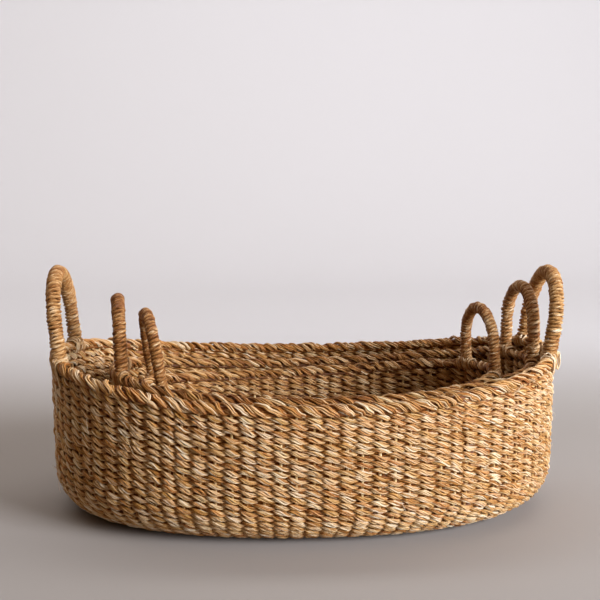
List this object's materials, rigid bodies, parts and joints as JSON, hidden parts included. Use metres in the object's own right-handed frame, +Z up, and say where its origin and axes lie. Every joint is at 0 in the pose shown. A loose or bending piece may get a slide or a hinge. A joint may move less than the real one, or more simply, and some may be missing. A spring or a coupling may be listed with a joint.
{
  "type": "nested woven baskets",
  "caption": "Nested set of oval twined-grass baskets with upright wrapped loop handles; each smaller basket stands in the next and lifts straight out.",
  "frame": {"origin": "on the floor under the middle of the large basket's oval", "axes": "+X along the length of the large basket towards its right handle, +Y towards the back of the picture, +Z up"},
  "size_m": [0.5077, 0.316, 0.2421],
  "materials": {
    "stake_pith": "bare dry stem, matt, split at the ends",
    "large_twined_base": "twined dry grass blades, satin, fine lengthwise fibre",
    "large_twined_wall": "twined dry grass blades, satin, mixed straw and green-brown blades",
    "large_plaited_border": "plaited bundles of dry grass, satin",
    "large_handle_wrap": "twisted grass cord wound tight, satin",
    "large_lashing": "flat grass strands bound over the rim, satin",
    "medium_twined_base": "twined dry grass blades, satin, fine lengthwise fibre",
    "medium_twined_wall": "twined dry grass blades, satin, mixed straw and green-brown blades",
    "medium_plaited_border": "plaited bundles of dry grass, satin",
    "medium_handle_wrap": "twisted grass cord wound tight, satin",
    "medium_lashing": "flat grass strands bound over the rim, satin",
    "small_twined_base": "twined dry grass blades, satin, fine lengthwise fibre",
    "small_twined_wall": "twined dry grass blades, satin, mixed straw and green-brown blades",
    "small_plaited_border": "plaited bundles of dry grass, satin",
    "small_handle_wrap": "twisted grass cord wound tight, satin",
    "small_lashing": "flat grass strands bound over the rim, satin"
  },
  "bodies": {
    "large_basket": {"large_base": "large_twined_base", "large_wall": "large_twined_wall", "large_stakes_in_wall": "stake_pith", "large_border": "large_plaited_border", "large_left_core": "stake_pith", "large_left_wrap": "large_handle_wrap", "large_left_lashings": "large_lashing", "large_right_core": "stake_pith", "large_right_wrap": "large_handle_wrap", "large_right_lashings": "large_lashing"},
    "medium_basket": {"medium_base": "medium_twined_base", "medium_wall": "medium_twined_wall", "medium_stakes_in_wall": "stake_pith", "medium_border": "medium_plaited_border", "medium_left_core": "stake_pith", "medium_left_wrap": "medium_handle_wrap", "medium_left_lashings": "medium_lashing", "medium_right_core": "stake_pith", "medium_right_wrap": "medium_handle_wrap", "medium_right_lashings": "medium_lashing"},
    "small_basket": {"small_base": "small_twined_base", "small_wall": "small_twined_wall", "small_stakes_in_wall": "stake_pith", "small_border": "small_plaited_border", "small_left_core": "stake_pith", "small_left_wrap": "small_handle_wrap", "small_left_lashings": "small_lashing", "small_right_core": "stake_pith", "small_right_wrap": "small_handle_wrap", "small_right_lashings": "small_lashing"}
  },
  "joints": [
    {"name": "medium_lift", "type": "slide", "parent": "large_basket", "child": "medium_basket", "axis": [0, 0, 1], "range_m": [0, 0.25]},
    {"name": "small_lift", "type": "slide", "parent": "medium_basket", "child": "small_basket", "axis": [0, 0, 1], "range_m": [0, 0.22]}
  ]
}
